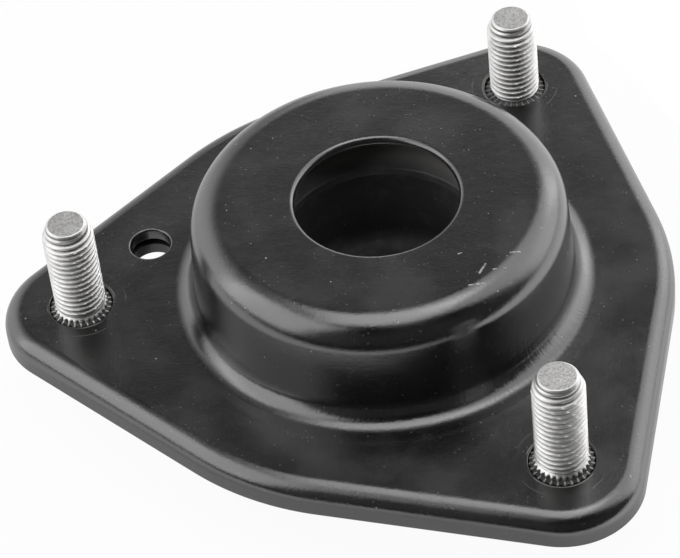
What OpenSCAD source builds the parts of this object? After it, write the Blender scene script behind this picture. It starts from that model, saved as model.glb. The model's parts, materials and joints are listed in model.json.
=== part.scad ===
// Strut mount: a domed three-stud plate over a bonded rubber insulator, with a
// thrust ball bearing under it. Millimetres. +Z points up along the strut rod.
// The origin is on the rod axis, in the plane of the plate's flat upper face.

/* [Upper plate] */
// Sheet thickness of the domed upper plate
plate_t = 2.5; // [2:0.1:3]
// Radius of the plate's sides about the rod axis
side_r = 55.8; // [54:0.1:60]
// Radius of the three corners about their studs
corner_r = 15.3; // [15:0.1:17]
// Outer radius where the plate's edge turns down
edge_r = 4; // [3.4:0.1:5]
// Height of the turned-down edge, from the flat face to its lower rim
lip_h = 6.6; // [6.2:0.1:8]

/* [Dome] */
// Outer radius of the dome's upright wall
dome_r = 36; // [35:0.1:37]
// Height of the dome's top above the flat face
dome_h = 21.7; // [20:0.1:25]
// Outer radius of the dome's upper edge
dome_edge_r = 6.2; // [5:0.1:7]
// Radius of the hollow fillet at the dome's foot
dome_foot_r = 5.5; // [4:0.1:6]
// Diameter of the nut access hole in the dome's top
access_d = 31.3; // [28:0.1:34]
// Bevel left by the punch on the access hole's upper edge
access_bevel = 0.5; // [0.2:0.1:0.8]

/* [Small hole] */
// Diameter of the hole through both plates beside the left stud
drain_d = 8.7; // [6:0.1:9.5]
// Distance of that hole from the rod axis
drain_from_axis = 47.6; // [47:0.1:48]
// Angle of that hole about the rod axis
drain_angle = 162; // [160:0.5:163]

/* [Studs] */
// Diameter of the circle through the three studs
bolt_circle_d = 118; // [116:0.5:122]
// Outer diameter of the stud thread
stud_d = 9.9; // [8:0.1:10]
// Height of the front stud's end above the flat face
front_rise = 22.5; // [18:0.1:26]
// Height of the left stud's end above the flat face
left_rise = 21.7; // [18:0.1:26]
// Height of the back stud's end above the flat face
back_rise = 18.3; // [16:0.1:26]
// Height of the front stud's serrated neck above the flat face
front_neck = 1.2; // [-2:0.1:1.5]
// Height of the left stud's serrated neck above the flat face
left_neck = 0.5; // [-2:0.1:1.5]
// Height of the back stud's serrated neck above the flat face
back_neck = -1.2; // [-2:0.1:1.5]
// Diameter over the teeth of the serrated neck
neck_d = 10.6; // [10.2:0.1:11]
// Depth of the neck's teeth
tooth_depth = 0.4; // [0.2:0.05:0.5]
// Number of teeth round the neck
tooth_count = 28; // [20:1:36]
// Diameter of the flat at the stud's end
point_d = 7.5; // [6:0.1:7.8]
// Length of the taper behind the stud's end
point_len = 3; // [2:0.1:4]
// Diameter of the stud's head under the plates
head_d = 15; // [13:0.1:16]
// Diameter of the clearance hole round each stud in the upper plate
stud_hole_d = 12.3; // [11.4:0.1:13]

/* [Lower plate] */
// Sheet thickness of the lower plate
lower_t = 2.3; // [2:0.1:2.6]
// Gap between the lower plate's rim and the turned-down edge round it
nest_gap = 0.3; // [0.2:0.05:0.5]
// Outer radius of the collar turned down round the rubber
collar_r = 30; // [28:0.1:33]
// Length of the collar below the plate
collar_len = 6.4; // [5:0.1:6.8]
// Inner radius of the bends in the lower plate
bend_r = 1.2; // [0.8:0.1:1.5]

/* [Rod cup] */
// Inner radius of the cup that takes the rod nut
cup_r = 19.5; // [18.5:0.1:19.8]
// Sheet thickness of the cup
cup_t = 2.5; // [2:0.1:2.6]
// Height of the rubber lip over the cup's rim, above the flat face
cup_top = 10; // [9:0.1:11]
// Depth of the cup's floor below the flat face
cup_floor = 9; // [8.6:0.1:9.2]
// Inner radius between the cup's wall and floor
cup_corner_r = 4; // [2:0.1:5]
// Diameter of the rod hole in the cup's floor
rod_d = 14.2; // [12:0.1:16]

/* [Rubber] */
// Thickness of the rubber lip over the cup's rim
lip_cover = 1.5; // [1:0.1:2]
// Height where the bond to the dome ends, above the flat face
bond_top = 15; // [14:0.1:15.4]
// Radius of the waist below the bond
waist_r = 30.5; // [29:0.1:31.5]
// Thickness of the rubber under the cup's floor
under_t = 2; // [1.5:0.1:2.5]

/* [Bearing] */
// Diameter of the bearing balls
ball_d = 5; // [4.6:0.1:5]
// Number of bearing balls
ball_count = 26; // [20:1:30]
// Play between a ball and its races or cage pocket
ball_play = 0.1; // [0.08:0.01:0.15]
// Sheet thickness of the two races
race_t = 1.2; // [1:0.1:1.2]
// Thickness of the ball cage
cage_t = 1.6; // [1.2:0.1:1.8]
// Width of the cage beside its pockets
cage_rim = 0.8; // [0.6:0.1:1]
// Thickness of the bearing cap over the upper race
cap_t = 2.6; // [2:0.1:3]
// Thickness of the cap's two skirts
skirt_t = 1.2; // [1:0.1:1.6]
// Thickness of the turning ring's wall outside the lower race
ring_wall_t = 1.2; // [1:0.1:1.8]
// Radial gap between the cap and the pieces that turn in it
turn_gap = 0.2; // [0.15:0.05:0.3]
// Thickness of the turning ring's foot
foot_t = 2.2; // [2:0.1:2.6]

/* [Hidden] */
$fn = 96;

// Cutters run past the faces that they open by this much
over = 1;
// Steps in a full turn of the plate's outline and of its rounded edge
outline_fn = 72;
edge_fn = 24;
// Straight sides of the lower plate lie this much inside the arcs that they run between
side_inset = 0.02;
// The fillets at the dome's foot cross the flat faces by this much
blend_bite = 0.03;
// Sections that continue one another overlap by this much
joint_lap = 0.2;
// Gap round the serrated necks and round the collar in the bearing cap
seat_gap = 0.02;
cap_gap = 0.1;
// The cap's inner bevel is this much larger than the bend that it clears
cap_bevel = 0.3;
rim_bevel = 1;

// Studs: front, left and back, as angles about the rod axis
stud_angles = [-60, 180, 60];
stud_rise = [front_rise, left_rise, back_rise];
neck_rise = [front_neck, left_neck, back_neck];
stud_r = bolt_circle_d / 2;

// Levels of the two sheets
upper_under = -plate_t;
pad_under = upper_under - lower_t;
web_under = -lip_h;
web_top = web_under + lower_t;

// Round pads that lift the lower plate to the upper one at the studs
head_room = 0.9;
pad_slope = 1.6;
pad_seat_r = head_d / 2 + head_room;
pad_r = pad_seat_r + lower_t / 2;
weld_w = 0.6;
pad_ring_r = pad_r + pad_slope + weld_w;

// Collar of the lower plate
collar_in_r = collar_r - lower_t;
bend_out_r = bend_r + lower_t;
bend_x = collar_r + bend_r;
bend_z = web_under - bend_r;
collar_end = web_under - collar_len;
collar_ring_r = bend_x + lower_t;

// Rod cup and the rubber bonded round it
cup_out_r = cup_r + cup_t;
cup_rim = cup_top - lip_cover;
cup_under = -cup_floor - cup_t;
dome_in_r = dome_r - plate_t;
hem_inset = 7;
bond_ledge = 2.5;
bulge_rise = 0.5;
bulge_in = 3;
bulge_drop = 1;

// Levels of the bearing, from its seat under the lower plate down to its foot
groove_r = ball_d / 2 + ball_play;
race_out_r = groove_r + race_t;
ball_z = web_under - cap_t - race_out_r;
cage_gap = 0.3;
race_edge = cage_t / 2 + cage_gap;
race_proud = 1.4;
race_sink = race_out_r - race_proud;
cap_under = ball_z + race_sink;
ring_top = ball_z - race_sink;
skirt_end = ring_top + turn_gap;
seal_room = 1.8;
foot_top = skirt_end - seal_room;
foot_under = foot_top - foot_t;

// Snap lip of the turning ring, over a bead on the cap's inner skirt
snap_reach = 0.4;
snap_t = 0.8;
snap_lip_t = 1;
snap_wall_t = 0.6;
snap_under = skirt_end + snap_t + 2 * turn_gap;
snap_top = snap_under + snap_lip_t;

// Radii of the bearing, from the collar outwards
race_gap = 0.3;
race_half_w = sqrt(race_out_r * race_out_r - race_edge * race_edge);
cap_in_r = collar_r + cap_gap;
foot_in_r = cap_in_r + turn_gap;
inner_skirt_r = cap_in_r + skirt_t;
snap_wall_r = inner_skirt_r + snap_reach + turn_gap;
ball_pitch_r = snap_wall_r + snap_wall_t + race_gap + race_half_w;
ring_out_r = ball_pitch_r + race_half_w + ring_wall_t;
outer_skirt_r = ring_out_r + 2 * turn_gap;
bearing_r = outer_skirt_r + skirt_t;

// Dust seals on the turning ring's foot
seal_gap = 0.3;
seal_w = 1.2;
seal_lip_w = 0.4;

PAINT = [0.05, 0.05, 0.055];
ZINC = [0.78, 0.79, 0.8];
RUBBER = [0.07, 0.07, 0.07];
STEEL = [0.62, 0.63, 0.65];
CAP_PLASTIC = [0.12, 0.12, 0.13];
CAGE_PLASTIC = [0.75, 0.72, 0.6];

// Quarter disc with its corner at the origin, between +X and +Y
module quarter(r) {
    intersection() {
        circle(r);
        square(r);
    }
}

// Half section from the axis to radius r, between two levels, its top edge rounded
module round_top_section(r, low, high, edge) {
    translate([0, low]) square([r - edge, high - low]);
    translate([r - edge - 0.001, low]) square([edge + 0.001, high - edge - low]);
    translate([r - edge, high - edge]) quarter(edge);
}

// Half section from the axis to radius r, between two levels, its bottom edge rounded
module round_bottom_section(r, low, high, edge) {
    translate([0, low]) square([r - edge, high - low]);
    translate([r - edge - 0.001, low + edge]) square([edge + 0.001, high - edge - low]);
    translate([r - edge, low + edge]) mirror([0, 1]) quarter(edge);
}

// Copies its children to the three studs
module at_studs() {
    for (a = stud_angles)
        rotate(a) translate([stud_r, 0]) children();
}

// Angle between a stud and the point where a side leaves the plate's central arc
function side_turn() = acos((side_r - corner_r) / stud_r);

// Copies its children to the six straight sides: +X faces out, the side runs along -Y
module at_sides() {
    for (a = stud_angles) {
        rotate(a + side_turn()) children();
        rotate(a - side_turn()) mirror([0, 1]) children();
    }
}

// Outline of the plate, drawn in by inset
module plate_outline(inset) {
    circle(side_r - inset);
    at_studs() circle(corner_r - inset);
    run = stud_r * sin(side_turn());
    at_sides() translate([0, -run]) square([side_r - inset - side_inset, run]);
}

// Solid of that outline between two levels, its upper edge rounded
module rounded_slab(inset, low, high, edge) {
    hull() {
        rotate_extrude($fn = outline_fn)
            round_top_section(side_r - inset, low, high, edge, $fn = edge_fn);
        at_studs()
            rotate_extrude($fn = outline_fn)
                round_top_section(corner_r - inset, low, high, edge, $fn = edge_fn);
    }
}

// Half section of the dome's outside, with the hollow fillet at its foot
module dome_outside() {
    foot_z = dome_foot_r - blend_bite;
    round_top_section(dome_r, upper_under / 2, dome_h, dome_edge_r);
    difference() {
        translate([dome_r - over, upper_under / 2])
            square([dome_foot_r + over, foot_z - upper_under / 2]);
        translate([dome_r + dome_foot_r, foot_z]) circle(dome_foot_r);
    }
}

// Half section of the hollow inside the dome, one sheet thickness in
module dome_inside() {
    foot_z = dome_foot_r - blend_bite;
    low = upper_under - over;
    round_top_section(dome_in_r, low, dome_h - plate_t, dome_edge_r - plate_t);
    difference() {
        translate([dome_in_r - over, low]) square([dome_foot_r + plate_t + over, foot_z - low]);
        translate([dome_r + dome_foot_r, foot_z]) circle(dome_foot_r + plate_t);
    }
}

// Hole through both plates beside the left stud
module drain_hole() {
    rotate(drain_angle)
        translate([drain_from_axis, 0, -lip_h - over])
            cylinder(d = drain_d, h = lip_h + 2 * over);
}

// Pressed upper plate: flat field, turned-down edge and central dome
module upper_plate() {
    color(PAINT)
    difference() {
        union() {
            rounded_slab(0, -lip_h, 0, edge_r);
            rotate_extrude() dome_outside();
        }
        rounded_slab(plate_t, -lip_h - over, upper_under, edge_r - plate_t);
        rotate_extrude() dome_inside();
        translate([0, 0, dome_h - plate_t - over]) cylinder(d = access_d, h = plate_t + 2 * over);
        translate([0, 0, dome_h - access_bevel])
            cylinder(d1 = access_d, d2 = access_d + 4 * access_bevel, h = 2 * access_bevel);
        at_studs() translate([0, 0, upper_under - over]) cylinder(d = stud_hole_d, h = plate_t + 2 * over);
        drain_hole();
    }
}

// Half section of the lower plate's collar, with its bend into the flat web
module collar_section() {
    translate([bend_x, web_under]) square([collar_ring_r - bend_x, lower_t]);
    translate([collar_in_r, collar_end]) square([lower_t, bend_z - collar_end]);
    translate([bend_x, bend_z])
        mirror([1, 0])
            difference() {
                quarter(bend_out_r);
                circle(bend_r);
            }
}

// Half section of a raised pad round a stud
module pad_section() {
    hole_r = neck_d / 2 + seat_gap;
    polygon([
        [hole_r, pad_under],
        [pad_seat_r, pad_under],
        [pad_seat_r + pad_slope, web_under],
        [pad_ring_r, web_under],
        [pad_ring_r, web_top],
        [pad_r + pad_slope, web_top],
        [pad_r, upper_under],
        [hole_r, upper_under]
    ]);
}

// Pressed lower plate, nested inside the upper plate's edge
module lower_plate() {
    color(PAINT)
    union() {
        difference() {
            translate([0, 0, web_under]) linear_extrude(lower_t) plate_outline(plate_t + nest_gap);
            translate([0, 0, web_under - over]) cylinder(r = collar_ring_r - joint_lap, h = lower_t + 2 * over);
            at_studs()
                translate([0, 0, web_under - over])
                    cylinder(r = pad_ring_r - joint_lap, h = lower_t + 2 * over);
            drain_hole();
        }
        rotate_extrude() collar_section();
        at_studs() rotate_extrude() pad_section();
    }
}

// Toothed outline of a stud's serrated neck
module neck_outline() {
    polygon([
        for (i = [0 : tooth_count - 1])
            for (half = [0, 1])
                let (a = (i + half / 2) * 360 / tooth_count)
                    let (r = neck_d / 2 - half * tooth_depth)
                        [r * cos(a), r * sin(a)]
    ]);
}

// One press-in stud, with its end and its neck at the given heights
module stud(rise, neck_top) {
    union() {
        translate([0, 0, web_under]) cylinder(d = head_d, h = pad_under - web_under);
        translate([0, 0, pad_under]) linear_extrude(neck_top - pad_under) neck_outline();
        translate([0, 0, neck_top]) cylinder(d = stud_d, h = rise - point_len - neck_top);
        translate([0, 0, rise - point_len]) cylinder(d1 = stud_d, d2 = point_d, h = point_len);
    }
}

// Three studs pressed into the pads of the lower plate
module studs() {
    color(ZINC)
    for (i = [0 : 2])
        rotate(stud_angles[i]) translate([stud_r, 0]) stud(stud_rise[i], neck_rise[i]);
}

// Half section of the cup's outside, filled to the axis
module cup_outside() {
    round_bottom_section(cup_out_r, cup_under, cup_rim, cup_corner_r + cup_t);
}

// Pressed cup that takes the rod nut, with the rod hole in its floor
module rod_cup() {
    color(PAINT)
    rotate_extrude()
        difference() {
            cup_outside();
            round_bottom_section(cup_r, -cup_floor, cup_rim + over, cup_corner_r);
            translate([0, cup_under - over]) square([rod_d / 2, cup_t + 2 * over]);
        }
}

// Rubber ring bonded to the cup, the dome's wall and the lower plate's collar
module rubber_insulator() {
    hem_r = rod_d / 2 + hem_inset;
    hem_z = cup_under - under_t;
    color(RUBBER)
    rotate_extrude()
        difference() {
            polygon([
                [hem_r, hem_z],
                [hem_r, -cup_floor],
                [cup_r, -cup_floor],
                [cup_r, cup_top],
                [dome_in_r - bond_ledge, bond_top],
                [dome_in_r, bond_top],
                [dome_in_r, dome_foot_r],
                [waist_r, upper_under / 2],
                [collar_in_r, web_top],
                [collar_in_r, collar_end + bulge_rise],
                [collar_in_r - bulge_in, hem_z - bulge_drop]
            ]);
            cup_outside();
        }
}

// Half section of a pressed race groove, over the balls
module race_section() {
    difference() {
        circle(race_out_r);
        circle(groove_r);
        translate([-race_out_r, -race_out_r]) square([2 * race_out_r, race_out_r + race_edge]);
    }
}

// Moulded cap on the collar: it holds the upper race and skirts the turning ring
module bearing_cap() {
    bevel = bend_r + cap_bevel;
    color(CAP_PLASTIC)
    rotate_extrude()
        difference() {
            polygon([
                [cap_in_r, web_under - bevel],
                [cap_in_r + bevel, web_under],
                [bearing_r - rim_bevel, web_under],
                [bearing_r, web_under - rim_bevel],
                [bearing_r, skirt_end],
                [outer_skirt_r, skirt_end],
                [outer_skirt_r, cap_under],
                [inner_skirt_r, cap_under],
                [inner_skirt_r, skirt_end + snap_t],
                [inner_skirt_r + snap_reach, skirt_end + snap_t],
                [inner_skirt_r + snap_reach, skirt_end + snap_t / 2],
                [inner_skirt_r, skirt_end],
                [cap_in_r, skirt_end]
            ]);
            translate([ball_pitch_r, ball_z]) circle(race_out_r);
        }
}

// Pressed race in the cap
module upper_race() {
    color(STEEL)
    rotate_extrude() translate([ball_pitch_r, ball_z]) race_section();
}

// Pressed race in the turning ring
module lower_race() {
    color(STEEL)
    rotate_extrude() translate([ball_pitch_r, ball_z]) mirror([0, 1]) race_section();
}

// Copies its children to the ball centres
module at_balls() {
    for (i = [0 : ball_count - 1])
        rotate(i * 360 / ball_count) translate([ball_pitch_r, 0, ball_z]) children();
}

// Ring of bearing balls
module balls() {
    color(STEEL)
    at_balls() sphere(d = ball_d);
}

// Flat cage that spaces the balls
module ball_cage() {
    half_w = groove_r + cage_rim;
    color(CAGE_PLASTIC)
    difference() {
        translate([0, 0, ball_z - cage_t / 2])
            linear_extrude(cage_t)
                difference() {
                    circle(ball_pitch_r + half_w);
                    circle(ball_pitch_r - half_w);
                }
        at_balls() translate([0, 0, -cage_t]) cylinder(r = groove_r, h = 2 * cage_t);
    }
}

// Moulded ring that turns with the spring seat, held up by its snap lip
module turning_ring() {
    lip_in_r = inner_skirt_r + turn_gap;
    color(CAP_PLASTIC)
    rotate_extrude()
        difference() {
            polygon([
                [foot_in_r, foot_under],
                [bearing_r, foot_under],
                [bearing_r, foot_top],
                [ring_out_r, foot_top],
                [ring_out_r, ring_top],
                [snap_wall_r + snap_wall_t, ring_top],
                [snap_wall_r + snap_wall_t, snap_top],
                [lip_in_r, snap_top],
                [lip_in_r, snap_under],
                [snap_wall_r, snap_under],
                [snap_wall_r, foot_top],
                [foot_in_r, foot_top]
            ]);
            translate([ball_pitch_r, ball_z]) circle(race_out_r);
        }
}

// Half section of a seal with a narrow lip, standing on the ring's foot from radius r
module seal_section(r) {
    lip_top = skirt_end - seal_gap;
    inset = (seal_w - seal_lip_w) / 2;
    polygon([
        [r, foot_top],
        [r + seal_w, foot_top],
        [r + seal_w - inset, lip_top],
        [r + inset, lip_top]
    ]);
}

// Dust seal under the cap's outer skirt
module outer_seal() {
    color(RUBBER)
    rotate_extrude() seal_section(bearing_r - seal_w);
}

// Dust seal under the cap's inner skirt
module inner_seal() {
    color(RUBBER)
    rotate_extrude() seal_section(foot_in_r);
}

upper_plate();
lower_plate();
studs();
rod_cup();
rubber_insulator();
bearing_cap();
upper_race();
balls();
ball_cage();
lower_race();
turning_ring();
outer_seal();
inner_seal();
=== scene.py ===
import json
import math

import bmesh
import bpy
from mathutils import Matrix, Vector
from mathutils.geometry import delaunay_2d_cdt


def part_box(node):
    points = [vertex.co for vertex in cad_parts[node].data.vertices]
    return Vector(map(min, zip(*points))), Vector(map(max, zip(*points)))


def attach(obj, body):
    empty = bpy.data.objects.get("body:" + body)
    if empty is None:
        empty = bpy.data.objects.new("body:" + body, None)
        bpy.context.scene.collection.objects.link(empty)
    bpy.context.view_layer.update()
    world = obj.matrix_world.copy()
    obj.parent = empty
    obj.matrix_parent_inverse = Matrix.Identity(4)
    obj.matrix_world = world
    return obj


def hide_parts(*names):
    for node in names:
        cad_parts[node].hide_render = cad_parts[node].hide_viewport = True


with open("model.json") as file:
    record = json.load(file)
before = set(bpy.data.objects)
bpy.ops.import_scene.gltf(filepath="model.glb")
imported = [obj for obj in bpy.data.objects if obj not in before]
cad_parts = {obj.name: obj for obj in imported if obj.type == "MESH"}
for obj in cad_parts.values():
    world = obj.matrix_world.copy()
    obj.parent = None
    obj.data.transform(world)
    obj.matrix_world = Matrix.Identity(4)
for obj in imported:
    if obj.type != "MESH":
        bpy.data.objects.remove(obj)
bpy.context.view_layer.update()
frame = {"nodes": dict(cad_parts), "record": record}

# Lengths are in millimetres and angles in degrees, unless a comment says otherwise
MM = 0.001

# Sizes that the frame states
MOUNTS = {m["name"]: m for m in frame["record"]["mounts"]}
BOLT_R = MOUNTS["studs"]["dims"]["pcd_mm"] / 2
STUD_R = MOUNTS["studs"]["dims"]["stud_r_mm"]
ACCESS_R = MOUNTS["access_hole"]["dims"]["r_mm"]
ROD_R = MOUNTS["rod_bore"]["dims"]["r_mm"]
FLOOR_Z = MOUNTS["seat_face"]["pos_m"][2] / MM
plate_low, plate_high = [Vector(c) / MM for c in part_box("upper_plate")]
LIP_Z = plate_low.z
DOME_Z = plate_high.z
SIDE_R = plate_high.x
CORNER_R = -plate_low.x - BOLT_R
HEAD_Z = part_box("studs")[0][2] / MM
CUP_RIM_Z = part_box("rod_cup")[1][2] / MM
CUP_UNDER_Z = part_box("rod_cup")[0][2] / MM
RUBBER_TOP_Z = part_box("rubber_insulator")[1][2] / MM
RUBBER_LOW_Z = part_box("rubber_insulator")[0][2] / MM

# Pressed plate
SHEET = 2.5
EDGE_R = 3.7
LIP_ROUND = 0.35
DOME_R = 36.0
DOME_EDGE_R = 6.2
DOME_DRAFT = 3.5
FOOT_R = 4.2
ACCESS_ROUND = 1.0
ACCESS_LOW_ROUND = 0.9
ACCESS_SHEET = 2.0
STUD_HOLE_R = 6.15
STUD_HOLE_ROUND = 0.25
DRAIN_R = 3.95
DRAIN_ROUND = 0.45
DRAIN_FROM_AXIS = 47.8
DRAIN_ANGLE = 162.0
BREAK_ROUND = 0.15
CORNER_ANGLES = (-60, 60, 180)
THIRD = 120
CORNER_STEPS = 40
SIDE_STEPS = 20
RUN_STEPS = 14
DOME_COUNT = 192
HOLE_COUNT = 72
CHORD_SHARE = 0.9985

# Studs, in the order front, left, back; the neck has an upper row of teeth and a lower one that bites
STUD_ANGLES = (-60.0, 180.0, 60.0)
NECK_RISE = (1.25, 0.75, -0.4)
BITE_RISE = (0.1, -0.05, -0.45)
NECK_R = 5.4
NECK_BEVEL = 1.15
BITE_R = 6.08
BITE_STEP = 0.5
BITE_BEVEL = 5
TEETH = 28
TOOTH_DEPTH = 0.55
TOOTH_POINTS = 4
NECK_LAYER = 0.1
NECK_BELOW = 0.2
SHANK_R = 4.6
PITCH = 1.25
THREAD_DEPTH = 0.72
THREAD_TURN = 0.23
THREAD_LAYER = 0.11
THREAD_GAP = 0.02
ROOT_SHARE = 0.18
FLANK_SHARE = 0.62
RUN_OUT_GAP = 0.05
RUN_OUT_LEN = 0.4 * PITCH
POINT_R = 3.75
POINT_ROUND = 0.45
POINT_LEN = 3.0
PAD_UNDER_Z = -4.8
HEAD_R = 7.5
HEAD_ROUND = 0.3
HEAD_INSET = 2
STUD_SHARP = 55

# Cup and rubber, as (radius, height) where a name has two numbers
CUP_R = 19.5
CUP_OUT_R = 22.0
CUP_FLOOR_Z = -9.0
CUP_CORNER_R = 4.0
CUP_OUT_CORNER_R = CUP_CORNER_R + CUP_OUT_R - CUP_R
CUP_ROUND = 0.3
LIP_TOP_Z = 10.0
SLOPE_TOP_R = 31.0
BOND_R = DOME_R - SHEET
BOND_LOW_Z = 5.5
SHOULDER = (30.5, -1.25)
WAIST = (27.7, -4.3)
SKIRT = (27.7, -12.5)
TOE_R = 24.7
HEM_R = 14.1
HEM_RISE = 1
TURNED_COUNT = 160
TURNED_STEPS = 5

# Scratches on the dome's edge and chips on the front corner, as (from, to, width)
SCRATCHES = [
    ((17.7, -23.0, 21.7), (19.0, -20.8, 21.7), 0.28),
    ((15.6, -25.8, 21.7), (18.4, -25.5, 21.5), 0.2),
    ((20.3, -22.3, 21.7), (20.9, -22.2, 21.6), 0.18),
    ((22.2, -22.0, 21.4), (22.7, -22.0, 21.4), 0.18),
    ((23.8, -18.4, 21.7), (25.6, -18.2, 21.5), 0.2),
    ((14.2, -17.5, 21.7), (14.8, -17.3, 21.7), 0.2),
    ((42.7, -51.6, -0.5), (42.8, -52.6, -0.6), 0.2),
    ((41.4, -55.9, -0.3), (41.5, -56.5, -0.5), 0.2),
]
SCRATCH_CORE = 0.4
# Painted glints: pale rings round the studs as (radius, strength); the press tool's faint marks: a ridge
# and streaks at the foot
RIM_GLINTS = [(6.6, 0.3), (8.7, 0.1)]
RIM_GLINT_WIDTH = 0.22
FOOT_RING_R = 42.6
FOOT_RING_WIDTH = 1.3
DRAW_MARK_R = DOME_R + 3
DRAW_MARK_TURN = -40
# Dust on the rubber's ledge, growing paler outwards as painted light that lifts the shade under the dome
LEDGE_DUST_AND_LIGHT = (CUP_R, CUP_R + 3.2)

# Floor and room, in metres; a band is (from, to, level at from, level at to)
WHITE = (1, 1, 1, 1)
FLOOR_HALF = 1.5
FLOOR_GAP = 0.05 * MM
FLOOR_SEEN = 0.95
# The floor's glow as glossy surfaces see it: a painted shadow near the part, painted light to its right
FLOOR_PAINTED_SHADOW = (0.078, 0.1, 0.6, 1.0)
FLOOR_PAINTED_LIGHT = (0.045, 0.07, 0.0, 0.4)
FLOOR_FRONT = (-0.135, -0.105, 0.03, 1.0)
ROOM_RIGHT = (0.25, 0.75, 0.072, 0.18)
ROOM_LEFT = (-0.15, -0.7, 0.0, 0.6)
ROOM_LOW = (0.77, 0.5, 0.0, 0.5)
ROOM_BACK = (-0.15, 0.25, 0.12, 1.0)

# Panels as (name, azimuth, elevation, distance, width, height, brightness), with azimuth 0 in front
PANELS = [
    ("left_panel", -73, 34, 0.8, 0.78, 0.86, 1.5),
    ("right_panel", 112, 42, 0.8, 0.93, 1.25, 1.12),
    ("back_panel", 158, 13, 0.8, 0.85, 0.6, 0.8),
    ("top_panel", -16, 88.5, 0.8, 0.53, 0.6, 1.9),
]

# Camera as fitted to the photograph
CAMERA_AZIMUTH = 1.853
CAMERA_ELEVATION = 45.225
CAMERA_ROLL = -6.521
CAMERA_EYE = (7.50, -444.07, 447.28)
CAMERA_LENS = 172.73
CAMERA_SENSOR = 36
CAMERA_SHIFT = (-0.01404, 0.00317)
CAMERA_CLIP = (0.01, 10)


def polar(radius, degrees):
    a = math.radians(degrees)
    return Vector((radius * math.cos(a), radius * math.sin(a)))


def toward(azimuth, elevation):
    """Direction to a lamp or the camera, with azimuth 0 in front of the object and 90 on its right."""
    a, e = math.radians(azimuth), math.radians(elevation)
    return Vector((math.sin(a) * math.cos(e), -math.cos(a) * math.cos(e), math.sin(e)))


def clamp(value):
    return min(1.0, max(0.0, value))


def wave(turns):
    """Triangle wave: 0 at whole turns and 1 half-way between them."""
    return 1 - abs(2 * (turns % 1.0) - 1)


ORIGIN = Vector((0, 0))
STUD_XY = [polar(BOLT_R, a) for a in STUD_ANGLES]
DRAIN_XY = polar(DRAIN_FROM_AXIS, DRAIN_ANGLE)


def stud_rise(xy):
    """Height of the CAD stud that stands at xy."""
    points = (v.co / MM for v in frame["nodes"]["studs"].data.vertices)
    return max(p.z for p in points if (p.xy - xy).length < HEAD_R + 1)


def place_in_scene(name, data):
    obj = bpy.data.objects.new(name, data)
    bpy.context.scene.collection.objects.link(obj)
    return obj


def turn_outwards(mesh):
    bm = bmesh.new()
    bm.from_mesh(mesh)
    bmesh.ops.recalc_face_normals(bm, faces=bm.faces)
    bm.to_mesh(mesh)
    bm.free()


class Shell:
    """A closed skin built from loops of points; every point may carry its own normal."""

    def __init__(self):
        self.points = []
        self.normals = []
        self.faces = []

    def point(self, co, normal=(0, 0, 0)):
        self.points.append(Vector(co))
        self.normals.append(Vector(normal))
        return len(self.points) - 1

    def ring(self, centre, radius, z, out, up, count):
        loop = []
        for i in range(count):
            n = polar(1, 360 * i / count)
            p = centre + radius * n
            loop.append(self.point((p.x, p.y, z), (out * n.x, out * n.y, up)))
        return loop

    def bridge(self, a, b):
        count = len(a)
        for i in range(count):
            j = (i + 1) % count
            self.faces.append((a[i], a[j], b[j], b[i]))

    def chain(self, loops):
        for a, b in zip(loops, loops[1:]):
            self.bridge(a, b)

    def fan(self, loop, centre):
        for i, a in enumerate(loop):
            self.faces.append((a, loop[(i + 1) % len(loop)], centre))

    def field(self, outer, holes, keep):
        """Flat face inside the loop outer; keep says whether a triangle's middle is in the sheet."""
        loops = [outer] + holes
        index = [i for loop in loops for i in loop]
        edges = []
        start = 0
        for loop in loops:
            n = len(loop)
            edges += [(start + i, start + (i + 1) % n) for i in range(n)]
            start += n
        result = delaunay_2d_cdt([self.points[i].xy for i in index], edges, [], 1, 1e-6)
        origin = [index[o[0]] for o in result[3]]
        for face in result[2]:
            middle = sum((result[0][i] for i in face), Vector((0, 0))) / len(face)
            if keep(middle):
                self.faces.append(tuple(origin[i] for i in face))

    def build(self, name, material, node, own_normals=False, sharp=40):
        mesh = bpy.data.meshes.new(name)
        mesh.from_pydata([p * MM for p in self.points], [], self.faces)
        mesh.validate()
        turn_outwards(mesh)
        mesh.polygons.foreach_set("use_smooth", [True] * len(mesh.polygons))
        if own_normals:
            mesh.normals_split_custom_set_from_vertices([n.normalized() for n in self.normals])
        else:
            mesh.set_sharp_from_angle(angle=math.radians(sharp))
        mesh.materials.append(material)
        obj = place_in_scene(name, mesh)
        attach(obj, "mount")
        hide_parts(node)
        return obj


def arc(cx, cz, radius, start, end, steps, hollow=False):
    """Points of a round in a section, as (across, z, normal across, normal z)."""
    out = []
    for i in range(steps + 1):
        a = math.radians(start + (end - start) * i / steps)
        c, s = math.cos(a), math.sin(a)
        side = -1 if hollow else 1
        out.append((cx + radius * c, cz + radius * s, side * c, side * s))
    return out


def outline():
    """Outline of the plate as (point, outward normal), counter-clockwise."""
    turn = math.degrees(math.acos((SIDE_R - CORNER_R) / BOLT_R))
    out = []

    def bend(centre, radius, start, sweep, steps):
        for i in range(steps + 1):
            n = polar(1, start + sweep * i / steps)
            out.append((centre + radius * n, n))

    def run(first, last, n):
        for i in range(1, RUN_STEPS):
            out.append((first.lerp(last, i / RUN_STEPS), n))

    for a in CORNER_ANGLES:
        corner = polar(BOLT_R, a)
        bend(corner, CORNER_R, a - turn, 2 * turn, CORNER_STEPS)
        n = polar(1, a + turn)
        run(corner + CORNER_R * n, SIDE_R * n, n)
        bend(ORIGIN, SIDE_R, a + turn, THIRD - 2 * turn, SIDE_STEPS)
        n = polar(1, a + THIRD - turn)
        run(SIDE_R * n, polar(BOLT_R, a + THIRD) + CORNER_R * n, n)
    return out


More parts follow.
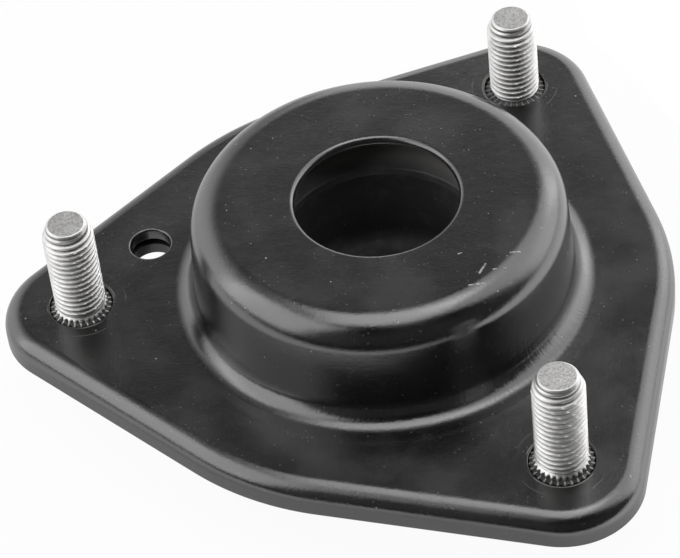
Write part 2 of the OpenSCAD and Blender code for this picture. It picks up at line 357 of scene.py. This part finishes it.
def foot_centre():
    """Radius at which the dome's foot runs out into the flat, below a wall that leans by the draft."""
    lean = math.radians(DOME_DRAFT)
    fall = DOME_Z - DOME_EDGE_R - FOOT_R
    return DOME_R - DOME_EDGE_R + (FOOT_R + DOME_EDGE_R + fall * math.sin(lean)) / math.cos(lean)


def outside(openings):
    """Test for points of a flat that lie in none of the openings, given as (centre, radius)."""

    def clear(middle):
        return all((middle - centre).length > CHORD_SHARE * radius for centre, radius in openings)

    return clear


def turned_down_edge(shell):
    """Edge of the plate, from the flat's upper face round the lip to its lower face."""
    low = LIP_Z + LIP_ROUND
    section = arc(-EDGE_R, -EDGE_R, EDGE_R, 90, 0, 14)
    section += arc(-LIP_ROUND, low, LIP_ROUND, 0, -90, 5)
    section += arc(LIP_ROUND - SHEET, low, LIP_ROUND, 270, 180, 5)
    section += arc(-EDGE_R, -EDGE_R, EDGE_R - SHEET, 0, 90, 8, hollow=True)
    edge = outline()
    loops = []
    for across, z, out, up in section:
        loop = []
        for p, n in edge:
            q = p + across * n
            loop.append(shell.point((q.x, q.y, z), (out * n.x, out * n.y, up)))
        loops.append(loop)
    shell.chain(loops)
    return loops


def turned_rings(shell, centre, section, count):
    rings = [shell.ring(centre, across, z, out, up, count) for across, z, out, up in section]
    shell.chain(rings)
    return rings


def dome(shell):
    """Dome, from its foot over the top to the hole and back down inside."""
    foot_r = foot_centre()
    top_r = DOME_R - DOME_EDGE_R
    bend_z = DOME_Z - DOME_EDGE_R
    low_z = DOME_Z - ACCESS_SHEET + ACCESS_LOW_ROUND
    section = arc(foot_r, FOOT_R, FOOT_R, 270, 180 + DOME_DRAFT, 16, hollow=True)
    section += arc(top_r, bend_z, DOME_EDGE_R, DOME_DRAFT, 90, 18)
    section += arc(ACCESS_R + ACCESS_ROUND, DOME_Z - ACCESS_ROUND, ACCESS_ROUND, 90, 180, 6)
    section += arc(ACCESS_R + ACCESS_LOW_ROUND, low_z, ACCESS_LOW_ROUND, 180, 270, 8)
    section += arc(top_r, bend_z, DOME_EDGE_R - SHEET, 90, DOME_DRAFT, 10, hollow=True)
    section += arc(foot_r, FOOT_R, FOOT_R + SHEET, 180 + DOME_DRAFT, 270, 12)
    return turned_rings(shell, ORIGIN, section, DOME_COUNT)


def punched_hole(shell, centre, radius, over):
    """Wall of a hole with a round over its upper edge."""
    section = arc(radius + over, -over, over, 90, 180, 6)
    section += arc(radius + BREAK_ROUND, BREAK_ROUND - SHEET, BREAK_ROUND, 180, 270, 3)
    return turned_rings(shell, centre, section, HOLE_COUNT)


def upper_plate(material):
    shell = Shell()
    edge = turned_down_edge(shell)
    rings = dome(shell)
    foot = (ORIGIN, foot_centre())
    top_loops, under_loops = [rings[0]], [rings[-1]]
    top_open, under_open = [foot], [foot]
    punched = [(xy, STUD_HOLE_R, STUD_HOLE_ROUND) for xy in STUD_XY]
    punched.append((DRAIN_XY, DRAIN_R, DRAIN_ROUND))
    for centre, radius, over in punched:
        hole = punched_hole(shell, centre, radius, over)
        top_loops.append(hole[0])
        under_loops.append(hole[-1])
        top_open.append((centre, radius + over))
        under_open.append((centre, radius + BREAK_ROUND))
    shell.field(edge[0], top_loops, outside(top_open))
    shell.field(edge[-1], under_loops, outside(under_open))
    shell.build("upper_plate_pressed", material, "upper_plate", own_normals=True)


def thread_radius(turns, z, rise, run_out):
    """Radius of the rolled thread, which fades into a cone at the point and into the neck below."""
    down = (rise - z) / POINT_LEN
    crest_r = min(STUD_R, POINT_R + (STUD_R - POINT_R) * down)
    ridge = clamp((wave(z / PITCH - turns) - ROOT_SHARE) / FLANK_SHARE)
    threaded = crest_r - THREAD_DEPTH * min(1.0, down) * (1 - ridge)
    fade = clamp((z - run_out) / RUN_OUT_LEN)
    return SHANK_R + (threaded - SHANK_R) * fade, ridge


def neck_radius(turns, z, neck_top, bite_top):
    """Two rows of teeth, each under its own bevel; the lower row fills the plate's hole."""
    gap = wave(turns * TEETH)
    tooth = NECK_R - TOOTH_DEPTH * gap
    bevel = SHANK_R + (neck_top - z) * NECK_BEVEL
    upper = min(tooth, bevel)
    lower = min(BITE_R - 0.5 * TOOTH_DEPTH * gap, NECK_R - BITE_STEP + (bite_top - z) * BITE_BEVEL)
    if lower > upper:
        return lower, 0.1 - 2.2 * gap
    return upper, 1.0 if bevel < tooth else 0.5 - 0.5 * gap


def stud(shell, xy, rise, neck_top, bite_top, turn):
    """One stud from its point to its head; gives each point's crest: 1 bright, 0 darker in the valleys,
    below 0 near black in the lower teeth's gaps, the darkening being grime and painted shade.
    """
    count = TEETH * TOOTH_POINTS
    crests = []
    loops = []

    def turned_loop(z, profile):
        loop = []
        for i in range(count):
            radius, crest = profile(i / count, z)
            p = xy + polar(radius, 360 * i / count)
            loop.append(shell.point((p.x, p.y, z)))
            crests.append(crest)
        loops.append(loop)

    def layers(z, end, step, profile):
        while z > end:
            turned_loop(z, profile)
            z -= step

    def plain(radius):
        return lambda share, z: (radius, 1.0)

    def thread(share, z):
        return thread_radius(share + turn, z, rise, neck_top + RUN_OUT_GAP)

    def neck(share, z):
        return neck_radius(share, z, neck_top, bite_top)

    point = arc(POINT_R - POINT_ROUND, rise - POINT_ROUND, POINT_ROUND, 90, 15, 6)
    head = [
        (HEAD_R - HEAD_ROUND, PAD_UNDER_Z),
        (HEAD_R, PAD_UNDER_Z - HEAD_ROUND),
        (HEAD_R, HEAD_Z + HEAD_ROUND),
        (HEAD_R - HEAD_ROUND, HEAD_Z),
        (HEAD_R - HEAD_INSET, HEAD_Z),
    ]
    for section in point:
        turned_loop(section[1], plain(section[0]))
    layers(rise - POINT_ROUND, neck_top + THREAD_GAP, THREAD_LAYER, thread)
    layers(neck_top, -SHEET - NECK_BELOW, NECK_LAYER, neck)
    turned_loop(PAD_UNDER_Z, neck)
    for radius, z in head:
        turned_loop(z, plain(radius))
    shell.chain(loops)
    shell.fan(loops[0], shell.point((xy.x, xy.y, rise)))
    shell.fan(loops[-1], shell.point((xy.x, xy.y, HEAD_Z)))
    return crests + [1.0, 1.0]


def studs(material):
    shell = Shell()
    crests = []
    for k, xy in enumerate(STUD_XY):
        crests += stud(shell, xy, stud_rise(xy), NECK_RISE[k], BITE_RISE[k], THREAD_TURN * k)
    obj = shell.build("studs_threaded", material, "studs", sharp=STUD_SHARP)
    obj.data.attributes.new("crest", "FLOAT", "POINT").data.foreach_set("value", crests)


def rounded(corners):
    """Closed section from (across, z, round) corners, each rounded inside its own corner."""
    out = []
    count = len(corners)
    for i, (x, z, r) in enumerate(corners):
        here = Vector((x, z))
        before = Vector(corners[i - 1][:2]) - here
        after = Vector(corners[(i + 1) % count][:2]) - here
        if r <= 0:
            out.append(here)
            continue
        half = before.angle(after) / 2
        reach = r / math.tan(half)
        a, b = before.normalized(), after.normalized()
        centre = here + (a + b).normalized() * (r / math.sin(half))
        start, end = here + a * reach - centre, here + b * reach - centre
        for k in range(TURNED_STEPS + 1):
            out.append(centre + r * start.normalized().slerp(end.normalized(), k / TURNED_STEPS))
    return out


def turned(name, corners, material, node):
    shell = Shell()
    rings = [shell.ring(ORIGIN, p.x, p.y, 1, 0, TURNED_COUNT) for p in rounded(corners)]
    shell.chain(rings + [rings[0]])
    shell.build(name, material, node)


def rod_cup(material):
    corners = [
        (ROD_R, CUP_FLOOR_Z, CUP_ROUND),
        (CUP_R, CUP_FLOOR_Z, CUP_CORNER_R),
        (CUP_R, CUP_RIM_Z, CUP_ROUND),
        (CUP_OUT_R, CUP_RIM_Z, CUP_ROUND),
        (CUP_OUT_R, CUP_UNDER_Z, CUP_OUT_CORNER_R),
        (ROD_R, CUP_UNDER_Z, CUP_ROUND),
    ]
    turned("rod_cup_pressed", corners, material, "rod_cup")


def rubber_insulator(material):
    lean = math.tan(math.radians(DOME_DRAFT))
    bond_low_r = BOND_R + (DOME_Z - DOME_EDGE_R - BOND_LOW_Z) * lean
    corners = [
        (HEM_R, CUP_UNDER_Z, 0),
        (CUP_OUT_R, CUP_UNDER_Z, CUP_OUT_CORNER_R),
        (CUP_OUT_R, CUP_RIM_Z, 0),
        (CUP_R, CUP_RIM_Z, 0),
        (CUP_R, LIP_TOP_Z, 0.5),
        (SLOPE_TOP_R, RUBBER_TOP_Z, 1.2),
        (BOND_R, RUBBER_TOP_Z, 0),
        (bond_low_r, BOND_LOW_Z, 0),
        (*SHOULDER, 0.8),
        (*WAIST, 0.6),
        (*SKIRT, 0.3),
        (TOE_R, RUBBER_LOW_Z, 1.0),
        (HEM_R, RUBBER_LOW_Z + HEM_RISE, 0.6),
    ]
    turned("rubber_moulded", corners, material, "rubber_insulator")


class Nodes:
    """Short calls for the nodes of one tree; an argument is a plain value or another node's output."""

    def __init__(self, tree):
        self.tree = tree
        tree.nodes.clear()

    def add(self, kind):
        return self.tree.nodes.new("ShaderNode" + kind)

    def link(self, a, b):
        self.tree.links.new(a, b)

    def put(self, socket, value):
        if isinstance(value, bpy.types.NodeSocket):
            self.link(value, socket)
        else:
            socket.default_value = value

    def math(self, operation, a, b=0.0, clamped=False):
        n = self.add("Math")
        n.operation = operation
        n.use_clamp = clamped
        self.put(n.inputs[0], a)
        self.put(n.inputs[1], b)
        return n.outputs[0]

    def plus(self, a, b):
        return self.math("ADD", a, b)

    def times(self, a, b):
        return self.math("MULTIPLY", a, b)

    def most(self, a, b):
        return self.math("MAXIMUM", a, b)

    def apart(self, a, b):
        return self.math("ABSOLUTE", self.math("SUBTRACT", a, b))

    def vector(self, operation, a, b=(0, 0, 0)):
        n = self.add("VectorMath")
        n.operation = operation
        self.put(n.inputs[0], a)
        self.put(n.inputs[1], b)
        return n.outputs["Value"] if operation in ("LENGTH", "DOT_PRODUCT", "DISTANCE") else n.outputs[0]

    def scaled(self, vector, share):
        n = self.add("VectorMath")
        n.operation = "SCALE"
        self.put(n.inputs[0], vector)
        self.put(n.inputs["Scale"], share)
        return n.outputs[0]

    def parts(self, vector):
        n = self.add("SeparateXYZ")
        self.put(n.inputs[0], vector)
        return n.outputs

    def span(self, value, low, high, to_low=0.0, to_high=1.0):
        """Smooth step from to_low to to_high while the value goes from low to high."""
        n = self.add("MapRange")
        n.interpolation_type = "SMOOTHSTEP"
        self.put(n.inputs["Value"], value)
        for key, v in (("From Min", low), ("From Max", high), ("To Min", to_low), ("To Max", to_high)):
            self.put(n.inputs[key], v)
        return n.outputs["Result"]

    def mix(self, share, a, b):
        n = self.add("Mix")
        n.data_type = "RGBA"
        self.put(n.inputs[0], share)
        self.put(n.inputs[6], a)
        self.put(n.inputs[7], b)
        return n.outputs[2]

    def glow(self, kind, strength):
        """White emission or background."""
        n = self.add(kind)
        n.inputs["Color"].default_value = WHITE
        self.put(n.inputs["Strength"], strength)
        return n.outputs[0]

    def blend(self, share, a, b):
        n = self.add("MixShader")
        self.link(share, n.inputs[0])
        self.link(a, n.inputs[1])
        self.link(b, n.inputs[2])
        return n.outputs[0]


class Material(Nodes):
    """A material with one principled shader; places in it are the object's own, in metres."""

    def __init__(self, name):
        self.material = bpy.data.materials.new(name)
        self.material.use_nodes = True
        super().__init__(self.material.node_tree)
        self.out = self.add("OutputMaterial")
        self.shader = self.add("BsdfPrincipled")
        self.link(self.shader.outputs[0], self.out.inputs["Surface"])
        self.place = self.add("TexCoord").outputs["Object"]

    def set(self, **values):
        for key, value in values.items():
            self.put(self.shader.inputs[key.replace("_", " ")], value)

    def noise(self, scale, detail, rough, place=None):
        n = self.add("TexNoise")
        self.put(n.inputs["Vector"], place or self.place)
        n.inputs["Scale"].default_value = scale
        n.inputs["Detail"].default_value = detail
        n.inputs["Roughness"].default_value = rough
        return n.outputs[0]

    def cells(self, scale):
        n = self.add("TexVoronoi")
        self.put(n.inputs["Vector"], self.place)
        n.inputs["Scale"].default_value = scale
        return n.outputs["Distance"], n.outputs["Color"]

    def bump(self, height, strength, distance, normal=None):
        n = self.add("Bump")
        n.inputs["Strength"].default_value = strength
        n.inputs["Distance"].default_value = distance
        self.put(n.inputs["Height"], height)
        if normal:
            self.link(normal, n.inputs["Normal"])
        return n.outputs[0]

    def attribute(self, name):
        n = self.add("Attribute")
        n.attribute_name = name
        return n.outputs["Fac"]

    def facing_up(self):
        return self.parts(self.add("NewGeometry").outputs["Normal"])[2]

    def flat_place(self):
        return self.vector("MULTIPLY", self.place, (1, 1, 0))

    def reach(self):
        """Distance from the rod axis, in metres."""
        return self.vector("LENGTH", self.flat_place())

    def specks(self, scale, low, high, strength):
        """Scattered dots of uneven size and strength, one at most in each cell."""
        near, tint = self.cells(scale)
        share, size = self.parts(tint)[:2]
        dot = self.math("LESS_THAN", near, self.span(size, 0.0, 1.0, low, high))
        return self.times(dot, self.span(share, 0.45, 0.9, 0.0, strength))

    def stroke(self, a, b, width):
        """1 on the line from a to b and 0 further from it than the width, all in millimetres."""
        a, b = Vector(a) * MM, Vector(b) * MM
        run = b - a
        along = self.vector("DOT_PRODUCT", self.vector("SUBTRACT", self.place, tuple(a)), tuple(run))
        share = self.math("DIVIDE", along, run.length_squared, clamped=True)
        nearest = self.vector("ADD", self.scaled(tuple(run), share), tuple(a))
        far = self.vector("DISTANCE", self.place, nearest)
        return self.span(far, width * MM, width * MM * SCRATCH_CORE)

    def stud_rings(self, radius, width):
        """1 on a circle of that radius round each stud, in millimetres, and 0 away from it."""
        flat = self.flat_place()
        far = [self.vector("DISTANCE", flat, (xy.x * MM, xy.y * MM, 0)) for xy in STUD_XY]
        nearest = self.math("MINIMUM", self.math("MINIMUM", far[0], far[1]), far[2])
        return self.span(self.apart(nearest, radius * MM), width * MM, 0.0)

    def draw_marks(self):
        """Fine radial streaks on the dome's foot, strongest on one side."""
        x, y, z = self.parts(self.place)
        turn = self.math("ARCTAN2", y, x)
        reach = self.reach()
        n = self.add("CombineXYZ")
        self.link(self.times(turn, 40.0), n.inputs[0])
        self.link(self.times(reach, 60.0), n.inputs[1])
        streaks = self.noise(1.6, 3, 0.6, n.outputs[0])
        side = self.span(self.apart(turn, math.radians(DRAW_MARK_TURN)), 0.55, 0.1, 0.12, 1.0)
        zone = self.span(self.apart(reach, DRAW_MARK_R * MM), 4.5 * MM, 2 * MM)
        low = self.span(z, (FOOT_R + 3) * MM, FOOT_R * MM)
        return self.times(streaks, self.times(side, self.times(zone, low)))

    def foot_ring(self):
        """Low ridge that the press tool leaves in the front of the flat, just outside the dome's foot."""
        y, z = self.parts(self.place)[1:3]
        ridge = self.span(self.apart(self.reach(), FOOT_RING_R * MM), FOOT_RING_WIDTH * MM, 0.0)
        front = self.span(y, -10 * MM, -30 * MM)
        flat = self.span(z, 0.5 * MM, 0.1 * MM)
        return self.times(ridge, self.times(front, flat))

    def hole_wall(self):
        """1 on the wall of the dome's hole, below its rounded upper edge, and 0 elsewhere."""
        below = self.span(self.parts(self.place)[2], (DOME_Z - 0.7) * MM, (DOME_Z - 1.1) * MM)
        return self.times(self.math("LESS_THAN", self.reach(), (ACCESS_R + 0.4) * MM), below)


def grey(value, warm=0.0):
    return (value * (1 + warm), value, value * (1 - warm), 1)


def bare_spots_and_glints(m):
    """Where the plate's paint is worn through: scratches and chips; and painted glints, pale rings round
    the studs.
    """
    scuffed = m.span(m.noise(1300, 2, 0.6), 0.36, 0.6, 0.15, 0.6)
    spots_and_glints = 0.0
    for line in SCRATCHES:
        spots_and_glints = m.most(spots_and_glints, m.times(m.stroke(*line), scuffed))
    # Painted glints: pale rings round the studs stand for light caught on the rims of their holes
    for radius, strength in RIM_GLINTS:
        broken = m.span(m.noise(150, 1, 0.5), 0.45, 0.62)
        rings = m.times(m.stud_rings(radius, RIM_GLINT_WIDTH), broken)
        spots_and_glints = m.most(spots_and_glints, m.times(rings, strength))
    return spots_and_glints


def black_paint(name, base, rough, ior, dust, marked):
    """Dip paint; marked adds the wear of the upper plate, painted glints round the studs and painted light
    on the wall of the dome's hole, and without it dust lies on what faces up.
    """
    m = Material(name)
    cloud = m.noise(70, 3, 0.55)
    grain = m.noise(2300, 3, 0.7)
    peel = m.noise(520, 2, 0.5)
    film_and_wall_light = m.times(m.span(m.noise(240, 4, 0.6), 0.45, 0.8), dust)
    marks_and_glints = m.most(m.specks(430, 0.03, 0.075, 0.5), m.specks(1150, 0.08, 0.2, 0.11))
    if marked:
        marks_and_glints = m.most(marks_and_glints, bare_spots_and_glints(m))
        peel = m.plus(peel, m.times(m.draw_marks(), 6.0))
        peel = m.plus(peel, m.times(m.foot_ring(), 0.8))
        # Painted light: the wall of the dome's hole is lightened to lift the shade in it
        film_and_wall_light = m.plus(film_and_wall_light, m.times(m.hole_wall(), 0.5))
    else:
        film_and_wall_light = m.times(film_and_wall_light, m.span(m.facing_up(), 0.4, 0.95, 1.0, 2.2))
    haze = m.times(m.span(cloud, 0.42, 0.66, 0.0, 0.06), m.span(m.facing_up(), 0.3, 0.95))
    dust_and_wall_light = m.plus(m.plus(film_and_wall_light, m.span(grain, 0.48, 0.7, 0.0, 0.09)), haze)
    # Dust, grain and haze mix the paint toward pale grey, and on the wall of the dome's hole so does
    # painted light
    colour = m.mix(dust_and_wall_light, grey(base), grey(0.16, 0.03))
    # Worn spots show pale metal, and the rings round the studs are painted glints
    colour = m.mix(marks_and_glints, colour, grey(0.6, 0.03))
    # The round below the plate's flat is rubbed a little duller
    height = m.parts(m.place)[2]
    rubbed = m.times(m.span(height, 0.0, -0.4 * MM), m.span(height, -1.3 * MM, -0.9 * MM, 0.0, 0.08))
    shine = m.plus(m.span(cloud, 0.3, 0.7, rough - 0.03, rough + 0.04), rubbed)
    m.set(Base_Color=colour, Roughness=m.plus(shine, m.times(marks_and_glints, 0.3)), IOR=ior)
    m.set(Normal=m.bump(grain, 0.5, 0.06 * MM, m.bump(peel, 0.12, 0.2 * MM)))
    return m.material


def zinc(name):
    """Zinc plate: darker in the thread's valleys and near black in the lower teeth's gaps, as grime and
    painted shade; hammered on the end faces.
    """
    m = Material(name)
    crest = m.attribute("crest")
    stain = m.span(m.noise(260, 3, 0.6), 0.35, 0.75)
    end_face = m.span(m.facing_up(), 0.93, 0.99)
    hammered = m.noise(2100, 4, 0.75)
    pitted = m.times(m.span(hammered, 0.56, 0.4, 0.0, 0.6), end_face)
    patchy = m.span(m.noise(500, 2, 0.6), 0.3, 0.5, 0.7, 1.0)
    # Grime and painted shade: darker where the crest is low, in the thread's valleys and the teeth's gaps
    grime_and_shade = m.times(m.span(crest, 0.0, -0.6), patchy)
    colour = m.mix(stain, grey(0.66, 0.01), grey(0.84, 0.01))
    colour = m.mix(m.span(crest, 0.0, 0.55), grey(0.27, 0.02), colour)
    colour = m.mix(m.times(end_face, 0.75), colour, grey(0.4, 0.01))
    colour = m.mix(grime_and_shade, colour, grey(0.02, 0.02))
    colour = m.mix(pitted, colour, grey(0.2, 0.02))
    shine = m.span(m.noise(900, 3, 0.6), 0.3, 0.7, 0.33, 0.48)
    m.set(Base_Color=colour, Metallic=m.span(grime_and_shade, 0.0, 1.0, 0.9, 0.0))
    m.set(Roughness=m.plus(shine, m.times(grime_and_shade, 0.3)))
    fine = m.bump(m.noise(4200, 2, 0.6), 0.25, 0.06 * MM)
    m.set(Normal=m.bump(m.times(hammered, end_face), 0.7, 0.25 * MM, fine))
    return m.material


def steel(name):
    m = Material(name)
    colour = m.mix(m.span(m.noise(300, 3, 0.6), 0.3, 0.7), grey(0.52), grey(0.64))
    shine = m.span(m.noise(1500, 2, 0.5), 0.3, 0.7, 0.14, 0.26)
    m.set(Base_Color=colour, Metallic=1.0, Roughness=shine)
    return m.material


def rubber(name, base, ledge=None):
    """Moulded rubber; dust lies on its upper side, and from the first radius in ledge to the second it
    grows paler as painted light that lifts the shade under the dome.
    """
    m = Material(name)
    bloom = m.span(m.noise(160, 4, 0.65), 0.4, 0.75)
    colour = m.mix(m.times(bloom, 0.4), grey(base), grey(base * 2.2, 0.03))
    if ledge:
        # Painted light with dust: paler outwards, where the dome's top shades the ledge
        thicker_and_lit = m.span(m.reach(), ledge[0] * MM, ledge[1] * MM, 0.08, 0.9)
        settled_and_lit = m.times(thicker_and_lit, m.span(m.facing_up(), 0.4, 0.75))
        colour = m.mix(settled_and_lit, colour, grey(0.36, 0.03))
    shine = m.span(m.noise(420, 3, 0.6), 0.3, 0.7, 0.4, 0.55)
    m.set(Base_Color=colour, Roughness=shine, IOR=1.5)
    m.set(Normal=m.bump(m.noise(1800, 3, 0.6), 0.2, 0.08 * MM))
    return m.material


def plastic(name, low, high, warm, rough):
    m = Material(name)
    colour = m.mix(m.span(m.noise(180, 3, 0.6), 0.3, 0.7), grey(low, warm), grey(high, warm))
    shine = m.span(m.noise(600, 3, 0.6), 0.3, 0.7, rough - 0.06, rough + 0.08)
    m.set(Base_Color=colour, Roughness=shine)
    m.set(Normal=m.bump(m.noise(2600, 2, 0.6), 0.15, 0.05 * MM))
    return m.material


def finish_solids():
    """Gives the nine nodes that keep their CAD solids their materials."""
    inner_paint = black_paint("black_paint_lower", base=0.035, rough=0.4, ior=1.8, dust=0.35, marked=False)
    moulded = plastic("bearing_plastic", low=0.011, high=0.018, warm=0.0, rough=0.45)
    ground = steel("bearing_steel")
    sealing = rubber("seal_rubber", base=0.016)
    finish = {
        "lower_plate": inner_paint,
        "bearing_cap": moulded,
        "turning_ring": moulded,
        "upper_race": ground,
        "lower_race": ground,
        "balls": ground,
        "ball_cage": plastic("cage_plastic", low=0.5, high=0.62, warm=0.08, rough=0.45),
        "outer_seal": sealing,
        "inner_seal": sealing,
    }
    for name, material in finish.items():
        mesh = frame["nodes"][name].data
        mesh.materials.clear()
        mesh.materials.append(material)


def floor_white():
    """Matt white that keeps the object's shadow, and glows to the camera and to glossy surfaces; the glow
    that glossy surfaces see is dimmed near the part as a painted shadow, raised to its right as painted
    light and faded towards the camera.
    """
    m = Material("floor_white")
    m.set(Base_Color=grey(0.8), Roughness=0.9)
    rays = m.add("LightPath").outputs
    across, along = m.parts(m.place)[:2]
    # Painted shadow near the part and painted light to its right, in the glow that glossy surfaces see
    painted_mirror_glow = m.plus(m.span(m.reach(), *FLOOR_PAINTED_SHADOW), m.span(across, *FLOOR_PAINTED_LIGHT))
    painted_mirror_glow = m.times(painted_mirror_glow, m.span(along, *FLOOR_FRONT))
    glow = m.glow("Emission", m.most(painted_mirror_glow, rays["Is Camera Ray"]))
    seen = m.most(m.times(rays["Is Camera Ray"], FLOOR_SEEN), rays["Is Glossy Ray"])
    m.link(m.blend(seen, m.shader.outputs[0], glow), m.out.inputs["Surface"])
    return m.material


def white_floor():
    mesh = bpy.data.meshes.new("floor")
    z = FLOOR_Z * MM - FLOOR_GAP
    corners = [(-1, -1), (1, -1), (1, 1), (-1, 1)]
    mesh.from_pydata([(x * FLOOR_HALF, y * FLOOR_HALF, z) for x, y in corners], [], [(0, 1, 2, 3)])
    mesh.materials.append(floor_white())
    obj = place_in_scene("floor", mesh)


def studio():
    """Pale room behind the object, brighter to the sides and near the floor, dark on the camera's side."""
    world = bpy.data.worlds.new("studio")
    bpy.context.scene.world = world
    world.use_nodes = True
    w = Nodes(world.node_tree)
    out = w.add("OutputWorld")
    x, y, z = w.parts(w.add("TexCoord").outputs["Generated"])
    sides = w.plus(w.span(x, *ROOM_RIGHT), w.span(x, *ROOM_LEFT))
    level = w.plus(sides, w.span(z, *ROOM_LOW))
    room = w.glow("Background", w.times(level, w.span(y, *ROOM_BACK)))
    white = w.glow("Background", 1.0)
    w.link(w.blend(w.add("LightPath").outputs["Is Camera Ray"], room, white), out.inputs["Surface"])


def panel(name, azimuth, elevation, distance, width, height, brightness):
    back = toward(azimuth, elevation)
    light = bpy.data.lights.new(name, "AREA")
    light.shape = "RECTANGLE"
    light.size = width
    light.size_y = height
    light.energy = brightness * math.pi * width * height
    obj = place_in_scene(name, light)
    aim = back.to_track_quat("Z", "Y").to_matrix().to_4x4()
    obj.matrix_world = Matrix.Translation(back * distance) @ aim


def camera():
    look = -toward(CAMERA_AZIMUTH, CAMERA_ELEVATION)
    roll = math.radians(CAMERA_ROLL)
    right = look.cross(Vector((0, 0, 1))).normalized()
    up = right.cross(look)
    turned_right = math.cos(roll) * right + math.sin(roll) * up
    turned_up = math.cos(roll) * up - math.sin(roll) * right
    data = bpy.data.cameras.new("camera")
    data.lens = CAMERA_LENS
    data.sensor_width = CAMERA_SENSOR
    data.shift_x, data.shift_y = CAMERA_SHIFT
    data.clip_start, data.clip_end = CAMERA_CLIP
    obj = place_in_scene("camera", data)
    axes = Matrix((turned_right, turned_up, -look)).transposed().to_4x4()
    obj.matrix_world = Matrix.Translation(Vector(CAMERA_EYE) * MM) @ axes
    bpy.context.scene.camera = obj


upper_plate(black_paint("black_paint", base=0.003, rough=0.18, ior=2.2, dust=0.01, marked=True))
studs(zinc("zinc"))
rod_cup(black_paint("black_paint_dusty", base=0.05, rough=0.6, ior=1.5, dust=0.4, marked=False))
rubber_insulator(rubber("rubber", base=0.085, ledge=LEDGE_DUST_AND_LIGHT))
finish_solids()
white_floor()
studio()
for values in PANELS:
    panel(*values)
camera()
bpy.context.scene.view_settings.view_transform = "Standard"
